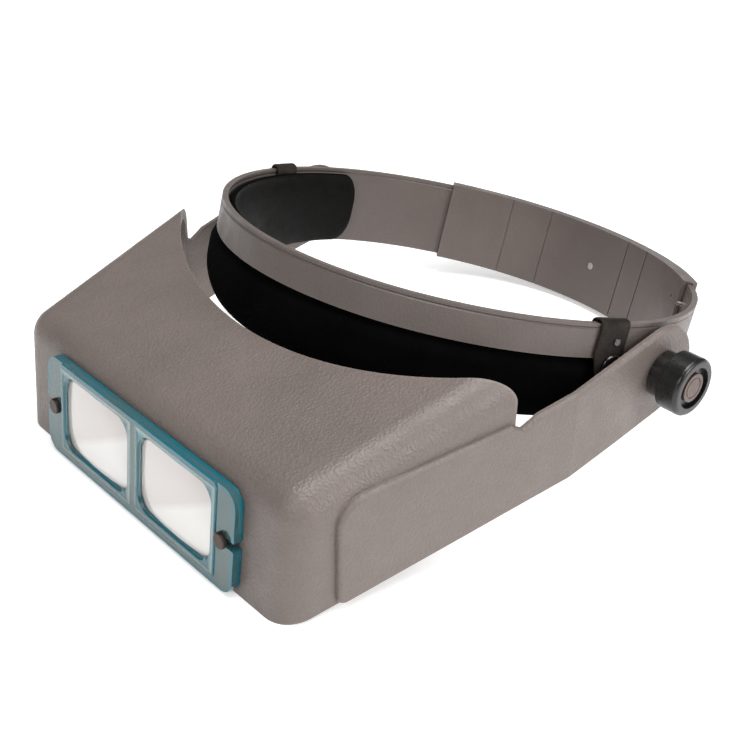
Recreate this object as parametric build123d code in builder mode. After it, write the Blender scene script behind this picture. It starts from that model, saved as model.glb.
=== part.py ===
"""Head visor magnifier: a binocular lens visor that tilts on a padded headband.

Frame: +Z up, the visor's lens plate faces -Y, +X is the wearer's left, origin at the
centre of the whole object's footprint on the table it lies on. Millimetres.
"""
import os
from math import atan2, cos, degrees, hypot, radians, sin, sqrt, tan

from build123d import *

# ---------------------------------------------------------------- driving dimensions
front_y = -130.78           # front face of the lens plate's tabs, at mid height
wall = 2.5                  # moulded wall of the visor
clearance = 0.3             # gap between parts that move past each other
running = 0.05              # radial clearance of a shaft in its bore

pivot_y = front_y + 159     # tilt axis of the visor, parallel to X
pivot_z = 41
arm_x = 98                  # outer face of the visor's arms at the pivot
bolt_r = 2.5                # pivot bolt's shank

# hood of the visor
face_tilt = 6               # lean of the front face from vertical, degrees
hood_half_front = 79.8      # half width at the front face, corners unrounded
flare = 0.144               # widening of each side wall per mm of depth
hood_front_z = 44.5         # height of the top at the front face
hood_rear_z = 66            # height of the top at the rear edge
hood_depth = 86.4           # front face to the rear edge of the side walls
rise = 0.145                # upward slope of the lower edge towards the rear
edge_r = 11                 # rounding of the hood's long edges
arm_edge_r = 1.5            # rounding of the arms' outer edges
brow_gap = 46.6               # front face to the middle of the concave rear edge
brow_r = 131                # radius of the concave rear edge

# lens plate
plate_half = 57             # half width over the tabs
plate_half_height = 19.5
plate_z = 20.2
tab_t = 3.4
stud_x = 51
window_w, window_h = 40.6, 28.4
bridge = 7.8                # bar between the two windows

# headband, measured in its own tilted plane
band_pitch = 15.6           # front of the band carried higher than the rear, degrees
band_y = front_y + 158.2    # centre of the band's top edge
band_z = 59.46
band_half = 93              # half width over the outer skin
band_front = 99.8           # centre to the brow
band_rear = 95.4            # centre to the back of the head
band_side_front_r = 104     # radii of the outline's side stretches
band_side_rear_r = 96.5
band_h = 33
band_t = 2.2
brow_h = 12.5               # height of the band across the brow
pad_gap = 0.4               # between the band and the comfort band inside it
pad_t = 4.8
pad_h = 35.8
pad_rear_y = 21.5           # it ends just behind the pivots
pad_bulge = 1.4             # swell of the padding below the brow band

# size sleeve at the rear
sleeve_half_angle = 44.9
sleeve_turn = 1.4           # middle of the sleeve, degrees off the rear
sleeve_wall = 1.6
sleeve_slack = 0.35
sleeve_rim = 0.7            # closed top and bottom of the sleeve
lock_r = 1.5                # lock pin
lock_knob_r, lock_knob_t = 12.6, 9

# knobs
knob_r, knob_t = 11, 9
collar_r, collar_t = 8.7, 5

# ---------------------------------------------------------------- derived frames
tan_face = tan(radians(face_tilt))
face_normal = (0, -cos(radians(face_tilt)), sin(radians(face_tilt)))
plate_plane = Plane(origin=(0, front_y, plate_z), x_dir=(1, 0, 0), z_dir=face_normal)
band_up = (0, sin(radians(band_pitch)), cos(radians(band_pitch)))
band_back = (0, cos(radians(band_pitch)), -sin(radians(band_pitch)))
band_plane = Plane(origin=(0, band_y, band_z), x_dir=(1, 0, 0), z_dir=band_up)
hood_y = front_y + tab_t + 0.2                          # hood's front face at plate_z
hood_foot_y = hood_y - plate_z * tan_face               # ... and at the table
hood_rear_y = hood_y + hood_depth
top_slope = (hood_rear_z - hood_front_z) / hood_depth

os.makedirs("parts", exist_ok=True)


def save(part, name):
    """Label a finished piece and write it as its own STEP file."""
    part.label = name
    export_step(part, f"parts/{name}.step")


def across(x):
    """Plane normal to the pivot axis at x, with local x along Y and local y along Z."""
    return Plane(origin=(x, 0, 0), x_dir=(0, 1, 0), z_dir=(1, 0, 0))


def half_width(y):
    """Half width of the hood's outer skin at depth y."""
    return hood_half_front + flare * (y - hood_y)


def foot_z(y):
    """Height of the visor's lower edge at depth y."""
    return rise * (y - hood_foot_y)


def pivot_disc(x0, x1, radius, side):
    """Round disc about the pivot axis, between two distances from the middle plane."""
    with BuildPart(mode=Mode.PRIVATE) as disc:
        with BuildSketch(across(side * x0)):
            with Locations((pivot_y, pivot_z)):
                Circle(radius)
        extrude(amount=side * (x1 - x0))
    return disc.part


# ---------------------------------------------------------------- visor shell
def hood_block(inset):
    """Solid wedge bounded by the hood's skin moved inwards by `inset`.

    The inner block also runs out through the open underside and the open rear.
    """
    spare = 0 if inset == 0 else 30
    rear = hood_rear_y + spare
    front = hood_y + inset / cos(radians(face_tilt))
    foot_y = front - plate_z * tan_face
    side = hood_half_front - inset
    with BuildPart(mode=Mode.PRIVATE) as block:
        with BuildSketch(Plane.XY.offset(-spare)):
            with BuildLine():
                Polyline((-side, foot_y - 20), (side, foot_y - 20), (side, foot_y),
                         (side + flare * (rear - foot_y), rear),
                         (-side - flare * (rear - foot_y), rear), (-side, foot_y), close=True)
            make_face()
        extrude(amount=120)
        with BuildSketch(Plane.YZ):
            with BuildLine():
                low = -spare
                top = hood_front_z - inset
                lean = tan_face * (top - plate_z)
                Polyline((foot_y + low * tan_face, low), (front + lean, top),
                         (rear, top + top_slope * (rear - front)),
                         (rear, foot_z(rear) if inset == 0 else low), close=True)
            make_face()
        extrude(amount=150, both=True, mode=Mode.INTERSECT)
        long_edges = block.edges().filter_by(
            lambda e: e.length > 35 and e.center().Z > 0.3 * hood_front_z and e.center().Y < rear - 2)
        fillet(long_edges, edge_r - inset)
    return block.part


arm_slope_end_y = hood_y + (arm_x - wall - hood_half_front) / flare


def on_outer_face(edge):
    """True for an edge that lies in the outer face of an arm."""
    spot = edge.center()
    return abs(spot.X) > min(half_width(spot.Y), arm_x - wall) + 0.8 * wall


def arm_blank(side):
    """Flat arm of the visor: its side outline, cut to the flared plan."""
    start_y = hood_y + 16.4
    end_r = 17.5
    with BuildPart(mode=Mode.PRIVATE) as blank:
        with BuildSketch(across(side * 60)) as outline:
            with BuildLine():
                Polyline((start_y, foot_z(start_y)),
                         (start_y, 42.4),
                         (hood_rear_y - 4, 47.2),
                         (hood_rear_y + 0.5, 44.6),
                         (hood_rear_y + 7, 47.8),
                         (pivot_y - 3, pivot_z + end_r - 0.15),
                         (pivot_y + 3, pivot_z - end_r + 0.15),
                         (pivot_y - 20, foot_z(pivot_y - 20)), close=True)
            make_face()
            with Locations((pivot_y, pivot_z)):
                Circle(end_r)
            fillet(outline.vertices().sort_by(lambda v: hypot(v.X - start_y, v.Y - 42.4))[0], 11)
            fillet(outline.vertices().sort_by(lambda v: hypot(v.X - start_y, v.Y))[0], 3)
        extrude(amount=side * 60)
        with BuildSketch(Plane.XY.offset(-10)):
            with BuildLine():
                near = half_width(start_y - 10)
                Polyline((side * near, start_y - 10),
                         (side * (arm_x - wall), arm_slope_end_y),
                         (side * (arm_x - wall), pivot_y + 30),
                         (side * arm_x, pivot_y + 30),
                         (side * arm_x, arm_slope_end_y),
                         (side * (near + wall), start_y - 10), close=True)
            make_face()
        extrude(amount=120, mode=Mode.INTERSECT)
        outer_rim = blank.edges().filter_by(on_outer_face)
        fillet(outer_rim.filter_by(lambda e: abs(e.center().Y - arm_slope_end_y) > 2), arm_edge_r)
    return blank.part


with BuildPart() as hood:
    add(hood_block(0))
    add(hood_block(wall), mode=Mode.SUBTRACT)
    # concave rear edge that clears the brow of the headband
    with BuildSketch(Plane.XY):
        with Locations((0, hood_y + brow_gap + brow_r)):
            Circle(brow_r)
    extrude(amount=120, mode=Mode.SUBTRACT, both=True)

with BuildPart() as visor_shell:
    add(hood.part)
    for side in (1, -1):
        add(arm_blank(side))
    # the window behind the lens plate
    with BuildSketch(plate_plane.offset(5)):
        RectangleRounded(2 * window_w + bridge + 3, window_h + 3, 6)
    extrude(amount=-20, mode=Mode.SUBTRACT)
    # holes for the lens studs and for the arm bushes
    with BuildSketch(plate_plane.offset(5)):
        with Locations((-stud_x, 0), (stud_x, 0)):
            Circle(lock_r)
    extrude(amount=-20, mode=Mode.SUBTRACT)
    for side in (1, -1):
        add(pivot_disc(arm_x - 10, arm_x + 10, 4.5, side), mode=Mode.SUBTRACT)
save(visor_shell.part, "visor_shell")


# ---------------------------------------------------------------- lens plate
def on_plate(depth):
    """Plane parallel to the lens plate, `depth` in front of its tabs."""
    return plate_plane.offset(depth)


body_half = 47.5            # half width of the thick middle of the plate
body_drop = 2               # the tabs reach this far below the middle
body_rise = 0.5             # the middle stands this far in front of the tabs
window_lift = 0.9           # windows sit above mid height
window_x = (window_w + bridge) / 2
rebate = 1.2                # ledge that carries each lens
bevel = 0.9                 # slope round the front of each window
dome_r = 170                # front surface of each lens
crown = 0.3                 # ... and how far it stands in front of the tabs
stud_head_r, stud_head_t = 2.9, 1.5

with BuildPart() as lens_frame:
    with BuildSketch(on_plate(-tab_t)):
        RectangleRounded(2 * plate_half, 2 * plate_half_height, 6)
    extrude(amount=tab_t)
    with BuildSketch(on_plate(-tab_t)):
        with Locations((0, body_drop / 2)):
            RectangleRounded(2 * body_half, 2 * plate_half_height - body_drop, 2)
    extrude(amount=tab_t + body_rise)
    front_rim = lens_frame.faces().sort_by(Axis((0, 0, 0), face_normal))[-1].edges()
    fillet(front_rim, 0.45)
    with BuildSketch(on_plate(body_rise)):
        with Locations((-window_x, window_lift), (window_x, window_lift)):
            RectangleRounded(window_w, window_h, 6)
    extrude(amount=-2 * tab_t, mode=Mode.SUBTRACT)
    with BuildSketch(on_plate(body_rise)):
        with Locations((-window_x, window_lift), (window_x, window_lift)):
            RectangleRounded(window_w + 2 * bevel, window_h + 2 * bevel, 6 + bevel)
    extrude(amount=-bevel, taper=45, mode=Mode.SUBTRACT)
    with BuildSketch(on_plate(-tab_t)):
        with Locations((-window_x, window_lift), (window_x, window_lift)):
            RectangleRounded(window_w + 2 * rebate, window_h + 2 * rebate, 6 + rebate)
    extrude(amount=2.6, mode=Mode.SUBTRACT)
    # slots open to the ends, so that the plate springs off its studs
    with BuildSketch(on_plate(-tab_t)):
        for side in (1, -1):
            with Locations((side * (stud_x + 5), 0)):
                Rectangle(10, 2 * lock_r + 0.3)
            with Locations((side * stud_x, 0)):
                Circle(lock_r + 0.15)
    extrude(amount=2 * tab_t, mode=Mode.SUBTRACT)
save(lens_frame.part, "lens_frame")


def lens(side):
    """Domed magnifying lens seated in the rebate behind a window."""
    with BuildPart(mode=Mode.PRIVATE) as glass:
        with BuildSketch(on_plate(-tab_t + 0.1)):
            with Locations((side * window_x, window_lift)):
                RectangleRounded(window_w + 2 * rebate - 0.1, window_h + 2 * rebate - 0.1, 6 + rebate)
        extrude(amount=2.5)
        with BuildSketch(on_plate(-tab_t + 2)):
            with Locations((side * window_x, window_lift)):
                RectangleRounded(window_w - 0.1, window_h - 0.1, 6)
        extrude(amount=2.6)
        dome = Pos(plate_plane.from_local_coords((side * window_x, window_lift, crown - dome_r)))
        add(dome * Sphere(dome_r, mode=Mode.PRIVATE), mode=Mode.INTERSECT)
    return glass.part


save(lens(1), "left_lens")
save(lens(-1), "right_lens")

with BuildPart() as lens_studs:
    with BuildSketch(on_plate(-tab_t - 0.2 - wall - 2.2)):
        with Locations((-stud_x, 0), (stud_x, 0)):
            Circle(lock_r - running)
    extrude(amount=tab_t + wall + 2.6)
    with BuildSketch(on_plate(0.15)):
        with Locations((-stud_x, 0), (stud_x, 0)):
            Circle(stud_head_r)
    extrude(amount=stud_head_t)
    heads = lens_studs.faces().filter_by(GeomType.PLANE).sort_by(Axis((0, 0, 0), face_normal))[-2:]
    fillet(heads.edges(), 0.5)
save(lens_studs.part, "lens_studs")

with BuildPart() as stud_clips:
    with BuildSketch(on_plate(-tab_t - 0.3 - wall - 1.2)):
        with Locations((-stud_x, 0), (stud_x, 0)):
            Circle(4)
            Circle(lock_r, mode=Mode.SUBTRACT)
    extrude(amount=1)
save(stud_clips.part, "stud_clips")


# ---------------------------------------------------------------- headband
def blend_arc(side_r, reach):
    """Offset of a cross arc's centre that makes it tangent to side arcs of radius side_r."""
    spare = side_r - reach
    return ((side_r - band_half) ** 2 - spare ** 2) / (2 * spare)


front_centre = blend_arc(band_side_front_r, band_front)
rear_centre = blend_arc(band_side_rear_r, band_rear)


def head_curve(plane, outset, depth):
    """Solid band section: the head outline moved out by `outset`, from the plane down by depth."""
    with BuildPart(mode=Mode.PRIVATE) as solid:
        with BuildSketch(plane):
            with BuildLine():
                for way, side_r, reach, centre in ((-1, band_side_front_r, band_front, front_centre),
                                                   (1, band_side_rear_r, band_rear, rear_centre)):
                    inset = side_r - band_half
                    turn = degrees(atan2(centre, inset))
                    cross_r = reach - centre + outset
                    CenterArc((-inset, 0), side_r + outset, 0, way * turn)
                    CenterArc((0, way * centre), cross_r, way * turn, way * (180 - 2 * turn))
                    CenterArc((inset, 0), side_r + outset, way * (180 - turn), way * turn)
            make_face()
        extrude(amount=-depth)
    return solid.part


def hoop(top, height, outer, inner):
    """Hoop between two outsets of the head outline, hanging `height` from the level `top`."""
    with BuildPart(mode=Mode.PRIVATE) as ring:
        add(head_curve(band_plane.offset(top), outer, height))
        add(head_curve(band_plane.offset(top + 1), inner, height + 2), mode=Mode.SUBTRACT)
    return ring.part


def band_side_plane(x=0):
    """Plane normal to X in the band's frame: local x towards the rear, local y up the band."""
    return Plane(origin=(x, band_y, band_z), x_dir=band_back, z_dir=(1, 0, 0))


def rear_sector(half_angle, reach=140, turn=0):
    """Wedge of the band's plane that opens to the rear, as a tall solid."""
    with BuildPart(mode=Mode.PRIVATE) as wedge:
        with BuildSketch(band_plane.offset(-60)):
            with BuildLine():
                ends = [Vector(reach, 0).rotate(Axis.Z, 90 + turn + a) for a in (-half_angle, half_angle)]
                Polyline((0, 0), ends[0], (ends[0] + ends[1]) * 0.8, ends[1], close=True)
            make_face()
        extrude(amount=120)
    return wedge.part


pad_lip_y = -20             # the tall comfort band shows below the short brow band ahead of here
bolt_y = (pivot_y - band_y) * band_back[1] + (pivot_z - band_z) * band_back[2]
bolt_z = (pivot_y - band_y) * band_up[1] + (pivot_z - band_z) * band_up[2]
boss_x = 94                 # flat face of the band's pivot bosses

# row of size holes in the strap at the rear, one of them under the lock
mid_band = band_plane.from_local_coords((0, 0, -band_h / 2))
lock_plane = Plane(mid_band, x_dir=(1, 0, 0), z_dir=band_back)
with BuildPart() as strap_holes:
    for step in (-2, -1, 0, 1, 2):
        heading = Vector(*band_back).rotate(Axis((0, 0, 0), band_up), 8 * step)
        with BuildSketch(Plane(mid_band, z_dir=heading).offset(band_rear - 20)):
            Circle(lock_r + 0.2)
        extrude(amount=40)

rivet_turns, rivet_levels, rivet_r = (-38, -44), (-8, 8), 1
with BuildPart() as rivet_holes:
    for turn in rivet_turns:
        heading = Vector(*band_back).rotate(Axis((0, 0, 0), band_up), turn)
        for level in rivet_levels:
            with BuildSketch(Plane(mid_band + Vector(*band_up) * level, z_dir=heading).offset(60)):
                Circle(rivet_r)
            extrude(amount=60)

with BuildPart() as headband:
    add(hoop(0, band_h, 0, -band_t))
    # across the brow the band is shorter, blending to full height ahead of the pivots
    with BuildSketch(band_side_plane()):
        with BuildLine():
            Polyline((-130, -brow_h), (pad_lip_y - 8, -brow_h))
            Spline((pad_lip_y - 8, -brow_h), (pad_lip_y + 12, -band_h - 1), tangents=((1, 0), (1, -0.4)))
            Polyline((pad_lip_y + 12, -band_h - 1), (pad_lip_y + 12, -60), (-130, -60), (-130, -brow_h))
        make_face()
    extrude(amount=130, both=True, mode=Mode.SUBTRACT)
    # the two strap ends stay apart inside the sleeve
    add(rear_sector(2, turn=-35), mode=Mode.SUBTRACT)
    for side in (1, -1):
        add(pivot_disc(band_half - band_t + 0.6, boss_x, 9.5, side))
        add(pivot_disc(band_half - 10, boss_x + 1, bolt_r + 0.02, side), mode=Mode.SUBTRACT)
    add(strap_holes.part, mode=Mode.SUBTRACT)
    add(rivet_holes.part, mode=Mode.SUBTRACT)
save(headband.part, "headband")

sleeve_in = -band_t - sleeve_slack                      # cavity of the sleeve
sleeve_top = sleeve_slack
crease_depth = 0.4


def inner_reach(turn):
    """Distance from the band's axis to the sleeve's inner face, `turn` degrees off the rear."""
    cross_r = band_rear - rear_centre + sleeve_in - sleeve_wall
    return rear_centre * cos(radians(turn)) + sqrt(cross_r ** 2 - (rear_centre * sin(radians(turn))) ** 2)


# knife blades for the shallow creases where the sleeve is scored to bend round the head
with BuildPart() as crease_blades:
    for turn in (28, 16, -11, -19):
        heading = Vector(*band_back).rotate(Axis((0, 0, 0), band_up), turn)
        with BuildSketch(Plane(mid_band, x_dir=band_up, z_dir=heading).offset(40)):
            Rectangle(2 * band_h, 0.8)
        extrude(amount=inner_reach(turn) + crease_depth - 40)

with BuildPart() as size_sleeve:
    add(hoop(sleeve_top + sleeve_rim, band_h + 2 * (sleeve_slack + sleeve_rim), sleeve_slack + sleeve_wall,
             sleeve_in - sleeve_wall))
    add(hoop(sleeve_top, band_h + 2 * sleeve_slack, sleeve_slack, sleeve_in), mode=Mode.SUBTRACT)
    with BuildSketch(lock_plane):
        Circle(lock_r + running)
    extrude(amount=120, mode=Mode.SUBTRACT)
    for blade in crease_blades.part.solids():
        add(blade, mode=Mode.SUBTRACT)
    add(rivet_holes.part, mode=Mode.SUBTRACT)
    add(rear_sector(sleeve_half_angle, turn=sleeve_turn), mode=Mode.INTERSECT)
save(size_sleeve.part, "size_sleeve")

# lock at the rear: a bush that holds the sprung pin, pulled by a round knob
sleeve_back = band_rear + sleeve_slack + sleeve_wall
bush_l = 10
knob_grip = 3.2             # length of the pin held in the lock knob
skirt_gap = 5               # sleeve to the skirt of the lock knob
with BuildPart() as lock_bush:
    with BuildSketch(lock_plane.offset(sleeve_back)):
        Circle(6)
    extrude(amount=bush_l)
    with BuildSketch(lock_plane.offset(sleeve_back - 2)):
        Circle(lock_r + running)
    extrude(amount=40, mode=Mode.SUBTRACT)
    with BuildSketch(lock_plane.offset(sleeve_back + 1)):
        Circle(4.2)
    extrude(amount=bush_l - 2.6, mode=Mode.SUBTRACT)
save(lock_bush.part, "lock_bush")

with BuildPart() as lock_pin:
    with BuildSketch(lock_plane.offset(band_rear - band_t - sleeve_slack - sleeve_wall + 0.2)):
        Circle(lock_r)
    extrude(amount=band_t + 2 * sleeve_slack + 2 * sleeve_wall - 0.2 + bush_l + knob_grip)
    with BuildSketch(lock_plane.offset(sleeve_back + 1.2)):
        Circle(4)
    extrude(amount=1)
save(lock_pin.part, "lock_pin")

with BuildPart() as lock_knob:
    with BuildSketch(lock_plane.offset(sleeve_back + skirt_gap)):
        Circle(lock_knob_r)
    extrude(amount=lock_knob_t)
    fillet(lock_knob.edges().filter_by(GeomType.CIRCLE).sort_by(Axis((0, 0, 0), band_back))[-1], 2.4)
    with BuildSketch(lock_plane.offset(sleeve_back - 1)):
        Circle(6 + clearance)
    extrude(amount=1 + bush_l + clearance, mode=Mode.SUBTRACT)
    with BuildSketch(lock_plane.offset(sleeve_back)):
        Circle(lock_r)
    extrude(amount=bush_l + knob_grip, mode=Mode.SUBTRACT)
save(lock_knob.part, "lock_knob")

with BuildPart() as lock_spring:
    wire_r = 0.35
    coil_bottom = sleeve_back + 2.6
    coil_h = bush_l - 4.9
    coil_turns = 2.5
    with BuildLine():
        coil = Helix(pitch=coil_h / coil_turns, height=coil_h, radius=2.8, direction=band_back,
                     center=mid_band + Vector(*band_back) * coil_bottom)
    with BuildSketch(Plane(coil @ 0, z_dir=coil % 0)):
        Circle(wire_r)
    sweep(path=coil)
save(lock_spring.part, "lock_spring")

with BuildPart() as sleeve_rivets:
    for turn in rivet_turns:
        heading = Vector(*band_back).rotate(Axis((0, 0, 0), band_up), turn)
        for level in rivet_levels:
            spot = mid_band + Vector(*band_up) * level
            with BuildSketch(Plane(spot, z_dir=heading).offset(inner_reach(turn) + 0.3)):
                Circle(rivet_r)
            extrude(amount=2 * sleeve_wall + 2 * sleeve_slack + band_t + 0.4)
save(sleeve_rivets.part, "sleeve_rivets")


# ---------------------------------------------------------------- comfort band and its loops
pad_out = -band_t - pad_gap
pad_top = -1.4
pad_foot = -pad_h
lip_top = -brow_h - 0.6

# below the brow band the padding swells out past the band's own skin
with BuildPart() as lip:
    add(hoop(lip_top, lip_top - pad_foot, pad_bulge, pad_out - 1))
    with BuildSketch(band_plane.offset(-60)):
        with Locations((0, -100 + pad_lip_y - 10)):
            Rectangle(220, 200)
    extrude(amount=120, mode=Mode.INTERSECT)

with BuildPart() as comfort_band:
    add(hoop(pad_top, pad_top - pad_foot, pad_out, pad_out - pad_t))
    add(lip.part)
    with BuildSketch(band_plane.offset(-60)):
        with Locations((0, pad_rear_y - 100)):
            Rectangle(220, 200)
    extrude(amount=120, mode=Mode.INTERSECT)
    for side in (1, -1):
        add(pivot_disc(band_half - 5.6, band_half, 8.5, side), mode=Mode.SUBTRACT)
save(comfort_band.part, "comfort_band")

loop_y = -21.5              # middle of each loop, ahead of the pivot
loop_w = 13
loop_t = 1.1
loop_drop = 20
snap_z = -14.5


def loop_tab(side):
    """Leather loop from the top of the comfort band over the band's edge and down outside."""
    with BuildPart(mode=Mode.PRIVATE) as tab:
        add(hoop(0.3 + loop_t, loop_drop + 0.3 + loop_t, 0.3 + loop_t, 0.3))
        add(hoop(0.3 + loop_t, loop_t, 0.3 + loop_t, pad_out - loop_t))
        add(hoop(0.3 + loop_t, 2.6, pad_out, pad_out - loop_t))
        with BuildSketch(band_side_plane(side * 60)):
            with Locations((loop_y, -loop_drop / 2)):
                Rectangle(loop_w, loop_drop + 8)
            with Locations((loop_y - 6.6, -loop_drop), (loop_y + 7.2, -loop_drop)):
                Circle(4.5, mode=Mode.SUBTRACT)
        extrude(amount=side * 60, mode=Mode.INTERSECT)
    return tab.part


save(loop_tab(1), "left_loop_tab")
save(loop_tab(-1), "right_loop_tab")


def loop_stud(side, level, radius, height):
    """Round stud standing on the outer leg of a loop."""
    depth = loop_y + 1.5
    skin_r = band_side_front_r + 0.3 + loop_t
    across_skin = sqrt(skin_r ** 2 - depth ** 2)
    out = (Vector(side, 0, 0) * across_skin + Vector(*band_back) * depth).normalized()
    foot = band_plane.from_local_coords((side * (across_skin - band_side_front_r + band_half), depth, level))
    with BuildPart(mode=Mode.PRIVATE) as stud:
        with BuildSketch(Plane(foot, z_dir=out)):
            Circle(radius)
        extrude(amount=height)
        fillet(stud.edges().filter_by(GeomType.CIRCLE).sort_by(Axis(foot, out))[-1], height * 0.45)
    return stud.part


with BuildPart() as loop_snaps:
    for side in (1, -1):
        add(loop_stud(side, snap_z, 4, 1.3))
save(loop_snaps.part, "loop_snaps")

with BuildPart() as loop_rivets:
    for side in (1, -1):
        add(loop_stud(side, -6, 1.4, 0.7))
save(loop_rivets.part, "loop_rivets")

# ---------------------------------------------------------------- pivots and knobs
washer_t = 1.1
head_x = band_half - band_t - 0.9       # the bolt's flat head bears inside the band
collar_x = arm_x + clearance
knob_x = collar_x + collar_t
knob_end = knob_x + knob_t
bolt_end = knob_end - 3
cap_r = 5.4
groove_r = 7.8              # outer radius of the recess round the cap
insert_r = 4.2


def pivot_bolt(side):
    """Flat-headed bolt, head inside the band and thread in the knob."""
    with BuildPart(mode=Mode.PRIVATE) as bolt:
        add(pivot_disc(head_x - 1.6, head_x, 7.5, side))
        add(pivot_disc(head_x - 1, bolt_end, bolt_r, side))
    return bolt.part


def drilled_disc(x0, x1, radius, bore, side):
    """Washer-like disc about the pivot axis."""
    with BuildPart(mode=Mode.PRIVATE) as washer:
        add(pivot_disc(x0, x1, radius, side))
        add(pivot_disc(x0 - 1, x1 + 1, bore, side), mode=Mode.SUBTRACT)
    return washer.part


def knob(side):
    """Grip with rounded rims and a recessed face."""
    with BuildPart(mode=Mode.PRIVATE) as grip:
        add(pivot_disc(knob_x, knob_end, knob_r, side))
        rims = grip.edges().filter_by(GeomType.CIRCLE).group_by(lambda e: abs(e.center().X))
        fillet(rims[-1], 1.6)
        fillet(rims[0], 0.8)
        add(pivot_disc(knob_end - 1.8, knob_end + 1, groove_r, side), mode=Mode.SUBTRACT)
        add(pivot_disc(knob_x - 1, knob_end, insert_r, side), mode=Mode.SUBTRACT)
    return grip.part


def cap(side):
    """Round cap set into the knob's face, with a turned ring."""
    with BuildPart(mode=Mode.PRIVATE) as disc:
        add(pivot_disc(knob_end - 1.8, knob_end - 0.4, cap_r, side))
        add(drilled_disc(knob_end - 0.7, knob_end, cap_r - 1.4, cap_r - 1.8, side), mode=Mode.SUBTRACT)
    return disc.part


for side, name in ((1, "left"), (-1, "right")):
    save(pivot_bolt(side), f"{name}_pivot_bolt")
    save(drilled_disc(boss_x, boss_x + washer_t, 9, bolt_r + 0.15, side), f"{name}_friction_washer")
    save(drilled_disc(arm_x - wall, arm_x, 4.5, bolt_r + running, side), f"{name}_arm_bush")
    save(drilled_disc(collar_x, knob_x, collar_r, bolt_r + running, side), f"{name}_collar")
    save(knob(side), f"{name}_knob")
    save(drilled_disc(knob_x, knob_end - 1.8, insert_r, bolt_r + running, side), f"{name}_knob_insert")
    save(cap(side), f"{name}_knob_cap")
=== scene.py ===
"""Looks of the head visor magnifier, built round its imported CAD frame. Metres."""

import math

import bpy
import numpy as np
from mathutils import Matrix, Vector


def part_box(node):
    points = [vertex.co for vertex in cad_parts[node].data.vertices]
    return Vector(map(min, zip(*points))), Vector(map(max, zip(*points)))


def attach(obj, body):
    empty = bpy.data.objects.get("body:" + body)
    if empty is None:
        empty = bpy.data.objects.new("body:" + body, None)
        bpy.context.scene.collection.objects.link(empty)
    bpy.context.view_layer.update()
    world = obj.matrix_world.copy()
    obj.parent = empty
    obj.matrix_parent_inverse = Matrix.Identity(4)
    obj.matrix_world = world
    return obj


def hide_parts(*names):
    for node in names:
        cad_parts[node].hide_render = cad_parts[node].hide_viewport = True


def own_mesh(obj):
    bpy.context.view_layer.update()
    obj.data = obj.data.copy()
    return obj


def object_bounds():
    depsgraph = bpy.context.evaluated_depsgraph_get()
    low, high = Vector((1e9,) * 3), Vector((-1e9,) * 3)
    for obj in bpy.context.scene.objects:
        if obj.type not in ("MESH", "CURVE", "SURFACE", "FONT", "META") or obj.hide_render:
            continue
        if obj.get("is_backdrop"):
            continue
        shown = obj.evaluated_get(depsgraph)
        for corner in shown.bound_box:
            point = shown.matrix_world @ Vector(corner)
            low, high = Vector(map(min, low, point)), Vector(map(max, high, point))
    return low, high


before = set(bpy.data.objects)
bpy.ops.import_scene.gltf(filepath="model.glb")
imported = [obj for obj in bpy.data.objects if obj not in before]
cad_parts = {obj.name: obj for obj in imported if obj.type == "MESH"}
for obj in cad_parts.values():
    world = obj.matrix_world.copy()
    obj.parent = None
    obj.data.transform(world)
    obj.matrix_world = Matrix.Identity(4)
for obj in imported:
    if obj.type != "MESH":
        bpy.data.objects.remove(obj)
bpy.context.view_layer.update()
MM = 0.001

# ------------------------------------------------------------------ places taken from the frame
low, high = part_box("left_pivot_bolt")
PIVOT = Vector((0, (low.y + high.y) / 2, (low.z + high.z) / 2))
PITCH = math.radians(15.6)                                # the band is carried higher in front
BAND_UP = Vector((0, math.sin(PITCH), math.cos(PITCH)))
BAND_BACK = Vector((0, math.cos(PITCH), -math.sin(PITCH)))
BAND_ORIGIN = PIVOT + Vector((0, -0.8, 18.46)) * MM       # centre of the band's top edge
BAND_MIDDLE = -16.5                                       # level half way down the band, mm
FACE_TILT = math.radians(6)
low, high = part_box("lens_studs")
PLATE_UP = Vector((0, math.sin(FACE_TILT), math.cos(FACE_TILT)))
PLATE_FRONT = Vector((0, -math.cos(FACE_TILT), math.sin(FACE_TILT)))
PLATE_CENTRE = Vector((0, low.y, (low.z + high.z) / 2))   # level with the front of the studs' heads
PLATE_CORE = PLATE_CENTRE - 3.1 * MM * PLATE_FRONT        # middle of the plate's thickness
PLATE_HALF, PLATE_HALF_HEIGHT = 57 * MM, 19.5 * MM
BODY_HALF = 47.3 * MM                                     # half width of the plate's thick middle
WINDOW_X, WINDOW_LIFT = 24.2 * MM, 0.9 * MM               # middle of a window from the plate's middle
WINDOW_HALF, WINDOW_HALF_HEIGHT = 20.3 * MM, 14.2 * MM


def in_band(x, back, up):
    """Row-frame point from band coordinates in millimetres."""
    return BAND_ORIGIN + (Vector((x, 0, 0)) + BAND_BACK * back + BAND_UP * up) * MM


BAND_HALF = 93                                            # half width of the head outline, mm
SIDES = {-1: (104, 99.8), 1: (96.5, 95.4)}                # side radius and reach, front and rear


def on_head(phi, outset):
    """(x, back) of the head outline moved out by outset, where its normal is phi radians from +X."""
    way = 1 if math.sin(phi) > 0 else -1
    side_r, reach = SIDES[way]
    inset, spare = side_r - BAND_HALF, side_r - reach
    centre = (inset ** 2 - spare ** 2) / (2 * spare)
    off_side = math.atan2(abs(math.sin(phi)), abs(math.cos(phi)))
    if off_side <= math.atan2(centre, inset):
        middle, radius = (-math.copysign(inset, math.cos(phi)), 0), side_r
    else:
        middle, radius = (0, way * centre), reach - centre
    radius += outset
    return middle[0] + radius * math.cos(phi), middle[1] + radius * math.sin(phi)


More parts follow.
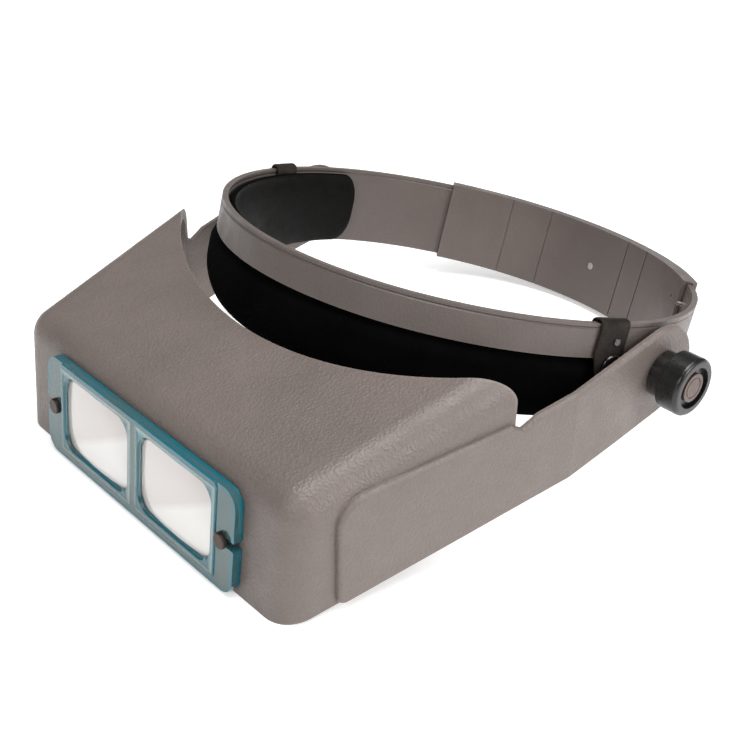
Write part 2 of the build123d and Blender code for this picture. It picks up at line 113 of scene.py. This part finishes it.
# ------------------------------------------------------------------ materials
class Look:
    """A procedural material on one Principled shader."""

    def __init__(self, name, **sockets):
        self.material = bpy.data.materials.new(name)
        self.material.use_nodes = True
        self.tree = self.material.node_tree
        self.shader = self.tree.nodes["Principled BSDF"]
        for socket, value in sockets.items():
            self.shader.inputs[socket.replace("_", " ")].default_value = value
        self.place = self.node("ShaderNodeTexCoord").outputs["Object"]
        self.normal = None

    def node(self, kind, **values):
        made = self.tree.nodes.new(kind)
        for key, value in values.items():
            setattr(made, key, value)
        return made

    def feed(self, socket, value):
        """Link a node's output to socket, or set a constant on it."""
        if isinstance(value, bpy.types.NodeSocket):
            self.tree.links.new(value, socket)
        elif value is not None:
            socket.default_value = value

    def noise(self, scale, detail=2.0, roughness=0.5):
        made = self.node("ShaderNodeTexNoise")
        self.feed(made.inputs["Vector"], self.place)
        made.inputs["Scale"].default_value = scale
        made.inputs["Detail"].default_value = detail
        made.inputs["Roughness"].default_value = roughness
        return made.outputs[0]

    def cells(self, scale):
        """Distance from the middle of rounded cells, as many per metre as scale."""
        made = self.node("ShaderNodeTexVoronoi", feature="SMOOTH_F1")
        self.feed(made.inputs["Vector"], self.place)
        made.inputs["Scale"].default_value = scale
        return made.outputs["Distance"]

    def along(self, direction, origin=(0, 0, 0)):
        """Distance of the point from origin, measured along direction."""
        shifted = self.node("ShaderNodeVectorMath", operation="SUBTRACT")
        self.feed(shifted.inputs[0], self.place)
        shifted.inputs[1].default_value = origin
        dot = self.node("ShaderNodeVectorMath", operation="DOT_PRODUCT")
        self.feed(dot.inputs[0], shifted.outputs[0])
        dot.inputs[1].default_value = direction
        return dot.outputs["Value"]

    def off(self, value, place):
        """How far value is from place, either way."""
        return self.math("ABSOLUTE", self.math("SUBTRACT", value, place))

    def math(self, operation, a, b=None, clamp=False):
        made = self.node("ShaderNodeMath", operation=operation, use_clamp=clamp)
        self.feed(made.inputs[0], a)
        self.feed(made.inputs[1], b)
        return made.outputs[0]

    def stretch(self, value, low_in, high_in, low_out=0.0, high_out=1.0):
        """value with low_in..high_in carried to low_out..high_out, and held at the ends."""
        made = self.node("ShaderNodeMapRange")
        made.clamp = True
        self.feed(made.inputs["Value"], value)
        for name, number in (("From Min", low_in), ("From Max", high_in),
                             ("To Min", low_out), ("To Max", high_out)):
            made.inputs[name].default_value = number
        return made.outputs[0]

    def mix(self, share, a, b):
        """Colour a where share is 0, turning to b where it is 1."""
        made = self.node("ShaderNodeMix", data_type="RGBA")
        self.feed(made.inputs[0], share)
        self.feed(made.inputs[6], a if isinstance(a, bpy.types.NodeSocket) else (*a, 1))
        self.feed(made.inputs[7], b if isinstance(b, bpy.types.NodeSocket) else (*b, 1))
        return made.outputs[2]

    def edges(self, radius):
        """0 on flat skin, rising to 1 where an edge turns within radius."""
        bevel = self.node("ShaderNodeBevel", samples=4)
        bevel.inputs["Radius"].default_value = radius
        dot = self.node("ShaderNodeVectorMath", operation="DOT_PRODUCT")
        self.feed(dot.inputs[0], bevel.outputs[0])
        self.feed(dot.inputs[1], self.node("ShaderNodeNewGeometry").outputs["Normal"])
        return self.stretch(dot.outputs["Value"], 1.0, 0.86)

    def bump(self, height, depth, strength):
        """Relief from height, on top of any relief already made."""
        made = self.node("ShaderNodeBump")
        self.feed(made.inputs["Height"], height)
        made.inputs["Distance"].default_value = depth
        made.inputs["Strength"].default_value = strength
        if self.normal is not None:
            self.feed(made.inputs["Normal"], self.normal)
        self.normal = made.outputs[0]
        self.feed(self.shader.inputs["Normal"], self.normal)

    def colour(self, value):
        self.feed(self.shader.inputs["Base Color"], value)

    def roughness(self, value):
        self.feed(self.shader.inputs["Roughness"], value)


def tint(r, g, b):
    """Linear colour of an sRGB triple from 0 to 255."""
    return tuple(((c / 255 + 0.055) / 1.055) ** 2.4 if c > 10 else c / 255 / 12.92 for c in (r, g, b))


def scaled(base, times, plus=0.0):
    """Colour base made lighter or darker, each channel at most 1."""
    return tuple(min(1, c * times + plus) for c in base)


def moulded(name, base, pebble, depth, rough, wear_and_highlight, groove=None):
    """Grained moulded plastic: pebble is the grain's size and depth its height, in metres.

    groove is the depth below the band's top edge at which a fine line runs round the band.
    """
    look = Look(name, IOR=1.46)
    drift = look.noise(26, 3, 0.55)
    fleck = look.noise(900, 2)
    grain = look.cells(1 / pebble)
    body = look.mix(look.stretch(drift, 0.3, 0.7), scaled(base, 0.9), scaled(base, 1.1))
    body = look.mix(look.stretch(fleck, 0.35, 0.75, 0, 0.22), body, scaled(base, 1.3))
    body = look.mix(look.stretch(grain, 0.25, 0.62, 0, 0.16), body, scaled(base, 0.62))
    # lighter edges: partly rubbed wear, partly a painted highlight along the lips and rims
    rubbed_and_highlit = look.math("MULTIPLY", look.edges(1.3 * MM), look.stretch(look.noise(70, 3), 0.35, 0.7, 0.25, 1))
    look.colour(look.mix(look.math("MULTIPLY", rubbed_and_highlit, wear_and_highlight), body, scaled(base, 1.7)))
    look.roughness(look.stretch(look.noise(140, 3), 0.3, 0.7, rough - 0.06, rough + 0.08))
    look.bump(grain, depth, 0.8)
    look.bump(look.noise(1500, 3), depth * 0.5, 0.6)
    if groove is not None:
        below = look.math("SUBTRACT", BAND_ORIGIN.dot(BAND_UP), look.along(BAND_UP))
        look.bump(look.stretch(look.off(below, groove), 0.1 * MM, 0.5 * MM), 0.5 * MM, 0.9)
    return look.material


def satin(name, base, rough, depth=0.02 * MM, metallic=0.0, coat=0.0):
    """Smooth hard part with fine handling marks, depth deep."""
    look = Look(name, Metallic=metallic, Coat_Weight=coat, Coat_Roughness=0.12)
    drift = look.noise(120, 3)
    body = look.mix(look.stretch(drift, 0.3, 0.75), base, scaled(base, 1.35, 0.004))
    scuff = look.math("MULTIPLY", look.edges(0.5 * MM), look.stretch(look.noise(300, 3), 0.4, 0.7))
    look.colour(look.mix(look.math("MULTIPLY", scuff, 0.5), body, scaled(base, 2.2, 0.05)))
    look.roughness(look.stretch(look.noise(420, 4), 0.3, 0.7, rough * 0.8, rough * 1.25))
    look.bump(look.noise(900, 3), depth, 0.5)
    return look.material


def leather(name, base, pebble, rough):
    """Matt leather: pebble is its grain's size in metres, crossed by soft creases."""
    look = Look(name, IOR=1.4, Specular_IOR_Level=0.12)
    grain = look.cells(1 / pebble)
    crease = look.noise(160, 4, 0.6)
    body = look.mix(look.stretch(crease, 0.35, 0.7), base, scaled(base, 2.4, 0.001))
    look.colour(look.mix(look.stretch(grain, 0.2, 0.6, 0, 0.4), body, scaled(base, 0.4)))
    look.roughness(look.stretch(crease, 0.3, 0.7, rough - 0.1, rough + 0.12))
    look.bump(grain, 0.12 * MM, 0.7)
    look.bump(crease, 0.25 * MM, 0.4)
    return look.material


def pile(name, base):
    """Short velour pile: brushed patches, fibre-fine relief and sheen."""
    look = Look(name, Roughness=0.95, Sheen_Weight=0.006, Sheen_Roughness=0.5, Specular_IOR_Level=0.01)
    brushed = look.noise(45, 3, 0.6)
    fibre = look.noise(2600, 3, 0.7)
    body = look.mix(look.stretch(brushed, 0.35, 0.7), base, scaled(base, 2.1, 0.0006))
    look.colour(look.mix(look.stretch(fibre, 0.45, 0.8, 0, 0.5), body, scaled(base, 3, 0.002)))
    look.bump(fibre, 0.25 * MM, 0.8)
    look.bump(brushed, 0.5 * MM, 0.25)
    return look.material


def acrylic(name):
    """Clear moulded acrylic whose blue-green tint gathers at its rims and edges as a painted edge glow, with
    a painted highlight line round each window.
    """
    look = Look(name, IOR=1.49, Transmission_Weight=0.6, Coat_Weight=0.2, Coat_Roughness=0.04)
    side = look.math("ABSOLUTE", look.along((1, 0, 0), PLATE_CENTRE))
    height = look.along(PLATE_UP, PLATE_CENTRE)
    from_end = look.math("SUBTRACT", PLATE_HALF, side)
    from_rim = look.math("SUBTRACT", PLATE_HALF_HEIGHT, look.math("ABSOLUTE", height))
    outer = look.stretch(look.math("MINIMUM", from_end, from_rim), 0.4 * MM, 2.4 * MM, 1.0, 0.0)
    past_x = look.math("SUBTRACT", look.off(side, WINDOW_X), WINDOW_HALF)
    past_z = look.math("SUBTRACT", look.off(height, WINDOW_LIFT), WINDOW_HALF_HEIGHT)
    past = look.math("MAXIMUM", past_x, past_z)           # distance outside the nearer window
    inner = look.stretch(look.off(past, 0.5 * MM), 0.3 * MM, 1.3 * MM, 1, 0)
    ridge_highlight = look.stretch(look.off(past, 1.9 * MM), 0.1 * MM, 0.7 * MM, 1, 0)
    step = look.stretch(look.off(side, BODY_HALF), 0.1 * MM, 0.8 * MM, 0.7, 0)
    # painted edge glow: bright teal along the outline, the window edges, the bevels and the body's step
    painted_glow = look.math("MAXIMUM", outer, look.math("MULTIPLY", inner, 0.85))
    painted_glow = look.math("MAXIMUM", painted_glow, look.math("MULTIPLY", look.edges(1.6 * MM), 0.9))
    painted_glow = look.math("MAXIMUM", painted_glow, step)
    streak = look.stretch(look.noise(42, 3), 0.3, 0.7, 0.5, 1.2)
    painted_glow = look.math("MULTIPLY", painted_glow, streak, clamp=True)
    # painted edge glow: on the rim it runs in two bright lines, along the front and the back edge
    depth = look.math("ABSOLUTE", look.along(PLATE_FRONT, PLATE_CORE))
    painted_glow_lines = look.stretch(depth, 0.5 * MM, 1.3 * MM, 0.3, 1.0)
    painted_glow = look.math("MULTIPLY", painted_glow, painted_glow_lines)
    body = look.mix(look.stretch(look.noise(60, 2), 0.35, 0.7), tint(104, 122, 118), tint(76, 122, 126))
    body = look.mix(painted_glow, body, tint(0, 138, 160))
    # painted highlight: a near-white line along the raised ridge round each window
    look.colour(look.mix(look.math("MULTIPLY", ridge_highlight, 0.55), body, tint(196, 224, 222)))
    look.roughness(look.stretch(look.noise(260, 3), 0.3, 0.7, 0.05, 0.16))
    look.bump(look.stretch(past, 0.4 * MM, 2.3 * MM), 0.5 * MM, 0.7)
    look.bump(look.noise(90, 2), 0.15 * MM, 0.3)
    return look.material


def lens_glass(name):
    """Polished magnifier: nearly clear, painted whitish below for the bright floor seen through it, with a
    painted soft slanting shade above.
    """
    look = Look(name, IOR=1.49, Transmission_Weight=0.55, Coat_Weight=0.5, Coat_Roughness=0.03)
    across = look.along((1, 0, 0))
    middle = look.math("MULTIPLY", look.math("SIGN", across), WINDOW_X)
    in_window = look.math("SUBTRACT", across, middle)
    slant = look.math("SUBTRACT", look.along((0, 0, 1)), look.math("MULTIPLY", in_window, 0.56))
    waver = look.math("MULTIPLY", look.noise(24, 2), 5 * MM)
    shade = look.stretch(look.math("ADD", slant, waver), 19 * MM, 22.5 * MM)
    # painted shade on the upper part of each window; the whitish colour below is painted light from the
    # floor seen through
    look.colour(look.mix(shade, (1.0, 0.975, 0.95), (0.83, 0.78, 0.75)))
    look.roughness(look.stretch(look.noise(500, 3), 0.35, 0.7, 0.02, 0.07))
    return look.material


SHELL = moulded("shell_plastic", tint(107, 97, 92), 0.85 * MM, 0.26 * MM, 0.42, wear_and_highlight=0.5)
STRAP = moulded("strap_plastic", tint(91, 82, 78), 0.75 * MM, 0.15 * MM, 0.42, wear_and_highlight=0.4, groove=1.7 * MM)
SLEEVE = moulded("sleeve_plastic", tint(93, 84, 80), 0.6 * MM, 0.05 * MM, 0.4, wear_and_highlight=0.4)
ACRYLIC = acrylic("frame_acrylic")
LENS = lens_glass("lens_glass")
DARK_METAL = satin("dark_metal", tint(52, 40, 34), 0.38, metallic=0.6)
STEEL = satin("steel", tint(178, 174, 168), 0.28, metallic=1.0)
BRASS = satin("brass", tint(190, 150, 80), 0.32, metallic=1.0)
KNOB = satin("knob_plastic", tint(11, 10, 9), 0.3, depth=0.03 * MM)
COLLAR = satin("collar_plastic", tint(7, 7, 7), 0.14, coat=0.7)
CAP = satin("cap_plastic", tint(74, 56, 50), 0.4)
NYLON = satin("nylon", tint(215, 210, 200), 0.45)
VELOUR = pile("velour", (0.0007, 0.0007, 0.0007))
LEATHER = leather("black_leather", (0.0020, 0.0018, 0.0016), 0.7 * MM, 0.5)
# a lighter copy of the black leather: the loops' lit look is painted into its colour
LIT_LOOP_LEATHER = leather("lit_loop_leather", (0.014, 0.011, 0.009), 0.6 * MM, 0.45)
SNAP = satin("snap_metal", tint(12, 11, 11), 0.16, coat=0.6)

WEARS = {
    SHELL: ("visor_shell",),
    STRAP: ("headband",),
    SLEEVE: ("size_sleeve",),
    ACRYLIC: ("lens_frame",),
    LENS: ("left_lens", "right_lens"),
    DARK_METAL: ("lens_studs", "stud_clips"),
    STEEL: ("lock_pin", "sleeve_rivets", "left_pivot_bolt", "right_pivot_bolt"),
    BRASS: ("left_knob_insert", "right_knob_insert"),
    KNOB: ("left_knob", "right_knob", "lock_knob", "lock_bush"),
    COLLAR: ("left_collar", "right_collar"),
    CAP: ("left_knob_cap", "right_knob_cap"),
    NYLON: ("left_arm_bush", "right_arm_bush", "left_friction_washer", "right_friction_washer"),
    SNAP: ("loop_snaps", "loop_rivets"),
}
for material, names in WEARS.items():
    for name in names:
        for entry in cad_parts[name].material_slots:
            entry.material = material


# ------------------------------------------------------------------ soft goods
def mesh_piece(name, points, faces, material):
    """Smooth-shaded mesh object from points in the row frame."""
    mesh = bpy.data.meshes.new(name)
    mesh.from_pydata([tuple(p) for p in points], [], faces)
    mesh.materials.append(material)
    mesh.shade_smooth()
    made = bpy.data.objects.new(name, mesh)
    bpy.context.scene.collection.objects.link(made)
    return made


def tube_faces(rings, around):
    """Skin over `rings` rings of `around` points, closed at both ends."""
    faces = [(r * around + k, r * around + (k + 1) % around,
              (r + 1) * around + (k + 1) % around, (r + 1) * around + k)
             for r in range(rings - 1) for k in range(around)]
    faces.append(tuple(range(around - 1, -1, -1)))
    faces.append(tuple((rings - 1) * around + k for k in range(around)))
    return faces


def smooth(t):
    """Soft step from 0 to 1 as t goes from 0 to 1."""
    t = min(1.0, max(0.0, t))
    return t * t * (3 - 2 * t)


FACE_POINTS = 15                                          # on the pad's outer and on its inner face
PAD_RINGS = 151
PAD_LENGTH = 330
PAD_END_ANGLE = math.asin(21.5 / 97)                      # the pad ends this far behind the pivots


def pad_section(across, back, end):
    """(outset, level) loop of the comfort band, at that place on the head outline, mm.

    end is 1 along the band and shrinks to 0 at its rounded ends.
    """
    lip = smooth((-22 - back) / 14)                       # swells out below the brow band
    top, bottom = -1.6, -32.6 - 4.2 * smooth((20 - back) / 70)
    middle, half = (top + bottom) / 2, (top - bottom) / 2 * math.sqrt(max(0.0, end))
    loop = []
    for level in np.linspace(1, -1, FACE_POINTS):         # outer face, downwards
        z = middle + half * level
        out = -2.75 - 0.5 * abs(level) ** 6
        under = smooth((-13.0 - z) / 3.5)
        side = min(1.0, abs(across) / 60)
        bulge = (3.2 + 1.4 * side) * under * lip * (1 - 0.5 * max(0.0, (-24 - z) / 9) ** 2)
        loop.append((out + bulge, z))
    for level in np.linspace(-1, 1, FACE_POINTS):         # inner face, upwards
        z = middle + half * level
        crown = 1 - abs(level) ** 4
        loop.append((-5.6 - 1.3 * crown, z))
    return loop


def comfort_band():
    """The padded band inside the brow: velour outside, leather inside."""
    points = []
    for i in range(PAD_RINGS):
        share = i / (PAD_RINGS - 1)
        phi = PAD_END_ANGLE - share * (math.pi + 2 * PAD_END_ANGLE)
        across, back = on_head(phi, 0)
        to_end = min(share, 1 - share) * PAD_LENGTH        # mm from the nearer end
        close = 1 - max(0.0, 1 - to_end / 7) ** 2
        for out, level in pad_section(across, back, 0.25 + 0.75 * close):
            x, y = on_head(phi, out)
            points.append(in_band(x, y, level))
    around = 2 * FACE_POINTS
    made = mesh_piece("comfort_band_pad", points, tube_faces(PAD_RINGS, around), VELOUR)
    made.data.materials.append(LEATHER)
    for face in made.data.polygons:
        inside = FACE_POINTS <= min(face.vertices) % around <= around - 2
        if inside and len(face.vertices) == 4:
            face.material_index = 1
    return made


def swell(piece, held, pressure, frames, reach):
    """Cloth simulation of a closed skin under pressure.

    The held points stay, and the others move at most reach.
    """
    group = piece.vertex_groups.new(name="held")
    group.add(held, 1.0, "REPLACE")
    cloth = piece.modifiers.new("cloth", "CLOTH")
    settings = cloth.settings
    settings.quality = 5
    settings.mass = 0.15
    settings.tension_stiffness = settings.compression_stiffness = 18
    settings.bending_stiffness = 0.4
    settings.use_pressure = True
    settings.uniform_pressure_force = pressure
    settings.vertex_group_mass = "held"
    settings.effector_weights.gravity = 0
    cloth.collision_settings.use_collision = False
    for number in range(1, frames + 1):
        bpy.context.scene.frame_set(number)
    solved = piece.evaluated_get(bpy.context.evaluated_depsgraph_get()).to_mesh()
    moved = [v.co.copy() for v in solved.vertices]
    piece.modifiers.remove(cloth)
    bpy.context.scene.frame_set(1)
    for vertex, place in zip(piece.data.vertices, moved):
        step = place - vertex.co
        vertex.co += step * min(1.0, reach / max(step.length, 1e-9))


def round_off(piece, levels):
    """Subdivision of a finished mesh."""
    rounded = piece.modifiers.new("rounded", "SUBSURF")
    rounded.levels = rounded.render_levels = levels


pad = comfort_band()
behind_band = [v.index for v in pad.data.vertices
               if v.index % (2 * FACE_POINTS) < FACE_POINTS
               and (v.co - BAND_ORIGIN).dot(BAND_UP) > -15 * MM]
swell(pad, behind_band, pressure=2.0, frames=18, reach=1.3 * MM)
round_off(pad, 1)
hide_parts("comfort_band")
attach(pad, "headband")

LOOP_THICKNESS, LOOP_MIDDLE = 1.1, -21.5                  # the loops sit ahead of the pivots, mm
LOOP_HALF = 6.5
NECK_TOP, LOBE_MIDDLE, LOBE_R = -11, -14.8, 4.9           # levels, and the lobe's radius


def loop_reach(level):
    """How far the leather reaches ahead of and behind the loop's middle at a level."""
    if level > NECK_TOP:
        return LOOP_HALF, LOOP_HALF
    neck = math.sin(math.pi * min(1.0, (NECK_TOP - level) / 6.0) / 2)
    tip = math.sqrt(max(0.0, 1 - (max(0.0, LOBE_MIDDLE - level) / LOBE_R) ** 2))
    return (LOOP_HALF - 1.9 * neck) * tip + 0.15, (LOOP_HALF - 1.5 * neck) * tip + 0.15


def loop_piece(side, name):
    """Leather loop: from the comfort band over the band's edge to a rounded lobe outside."""
    path = [(-3.6, -3.0), (-3.4, -0.6), (-2.9, 0.9), (-1.6, 1.25), (-0.4, 1.25), (0.55, 0.85), (0.95, -0.6)]
    path += [(0.95, level) for level in np.linspace(-2.5, -19.3, 12)]
    points = []
    columns = 11
    for out, level in path:
        ahead, behind = loop_reach(level)
        for back in np.linspace(LOOP_MIDDLE - ahead, LOOP_MIDDLE + behind, columns):
            turn = math.asin(back / (SIDES[-1][0] + out))
            phi = turn if side > 0 else math.pi - turn
            x, y = on_head(phi, out)
            points.append(in_band(x, y, level))
    faces = [(r * columns + k, r * columns + k + 1, (r + 1) * columns + k + 1, (r + 1) * columns + k)
             for r in range(len(path) - 1) for k in range(columns - 1)]
    made = mesh_piece(name, points, faces, LIT_LOOP_LEATHER)
    thick = made.modifiers.new("thickness", "SOLIDIFY")
    thick.thickness = LOOP_THICKNESS * MM
    thick.offset = 0
    round_off(made, 2)
    return made


for side, name in ((1, "left"), (-1, "right")):
    loop = loop_piece(side, f"{name}_leather_loop")
    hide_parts(f"{name}_loop_tab")
    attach(loop, "headband")


COIL_START, COIL_HEIGHT = 99.95, 5.1                      # along the lock pin, mm
COIL_TURNS, COIL_R, WIRE_R = 2.5, 2.8, 0.35


def lock_coil():
    """Return spring round the lock pin."""
    steps, around = 100, 10
    points = []
    for i in range(steps + 1):
        turn = 2 * math.pi * COIL_TURNS * i / steps
        for k in range(around):
            roll = 2 * math.pi * k / around
            reach = COIL_R + WIRE_R * math.cos(roll)
            back = COIL_START + COIL_HEIGHT * i / steps + WIRE_R * math.sin(roll)
            points.append(in_band(reach * math.cos(turn), back, BAND_MIDDLE + reach * math.sin(turn)))
    return mesh_piece("lock_return_spring", points, tube_faces(steps + 1, around), STEEL)


spring = lock_coil()
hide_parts("lock_spring")
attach(spring, "headband")
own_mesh(spring)


# ------------------------------------------------------------------ floor, light and camera
FLOOR_HALF = 8


def floor():
    """Plain white studio floor that hardly darkens with distance."""
    look = Look("floor_white", Roughness=0.9, Specular_IOR_Level=0.1)
    look.shader.inputs["Base Color"].default_value = (0.9, 0.9, 0.9, 1)
    look.shader.inputs["Emission Color"].default_value = (1, 1, 1, 1)
    look.shader.inputs["Emission Strength"].default_value = 0.42
    corners = [(x * FLOOR_HALF, y * FLOOR_HALF, 0) for x, y in ((-1, -1), (1, -1), (1, 1), (-1, 1))]
    mesh_piece("floor", corners, [(0, 1, 2, 3)], look.material)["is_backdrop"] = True


def softbox(name, place, target, width, height, power):
    """White area lamp at place, turned towards target."""
    lamp = bpy.data.lights.new(name, "AREA")
    lamp.shape, lamp.size, lamp.size_y = "RECTANGLE", width, height
    lamp.energy = power
    made = bpy.data.objects.new(name, lamp)
    made.location = place
    made.rotation_euler = (Vector(target) - Vector(place)).to_track_quat("-Z", "Y").to_euler()
    bpy.context.scene.collection.objects.link(made)


floor()
softbox("top_softbox", (0.15, 0.1, 1.3), (0, -0.03, 0.03), 0.9, 0.8, 17)
softbox("front_softbox", (0.1, -1.5, 0.8), (0, -0.05, 0.03), 0.8, 0.5, 2)
softbox("right_softbox", (1.4, 0.35, 0.8), (0, 0, 0.04), 0.7, 0.7, 14)
softbox("glint_softbox", (0.5, -1.1, 0.95), (0.05, -0.08, 0.04), 0.35, 0.35, 4.2)
world = bpy.data.worlds.new("studio")
world.use_nodes = True
world.node_tree.nodes["Background"].inputs["Color"].default_value = (1, 1, 1, 1)
world.node_tree.nodes["Background"].inputs["Strength"].default_value = 0.22
bpy.context.scene.world = world
bpy.context.scene.view_settings.view_transform = "Standard"

# the camera looks down at the wearer's left front corner
VIEW_AZIMUTH, VIEW_PITCH, VIEW_ROLL = (math.radians(a) for a in (47.384, 31.534, 1.214))
VIEW_FROM = PIVOT + Vector((307.495, -331.07, 228.499)) * MM
FOCAL_LENGTH, SENSOR_WIDTH = 59.61, 36
back = Vector((math.sin(VIEW_AZIMUTH) * math.cos(VIEW_PITCH),
               -math.cos(VIEW_AZIMUTH) * math.cos(VIEW_PITCH), math.sin(VIEW_PITCH)))
level = Vector((math.cos(VIEW_AZIMUTH), math.sin(VIEW_AZIMUTH), 0))
upright = back.cross(level)
right = level * math.cos(VIEW_ROLL) + upright * math.sin(VIEW_ROLL)
up = upright * math.cos(VIEW_ROLL) - level * math.sin(VIEW_ROLL)
lens = bpy.data.cameras.new("camera")
lens.lens, lens.sensor_width = FOCAL_LENGTH, SENSOR_WIDTH
lens.clip_start, lens.clip_end = 0.01, 20
camera = bpy.data.objects.new("camera", lens)
axes = Matrix((right, up, back)).transposed().to_4x4()
camera.matrix_world = Matrix.Translation(VIEW_FROM) @ axes
bpy.context.scene.collection.objects.link(camera)
bpy.context.scene.camera = camera

low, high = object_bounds()
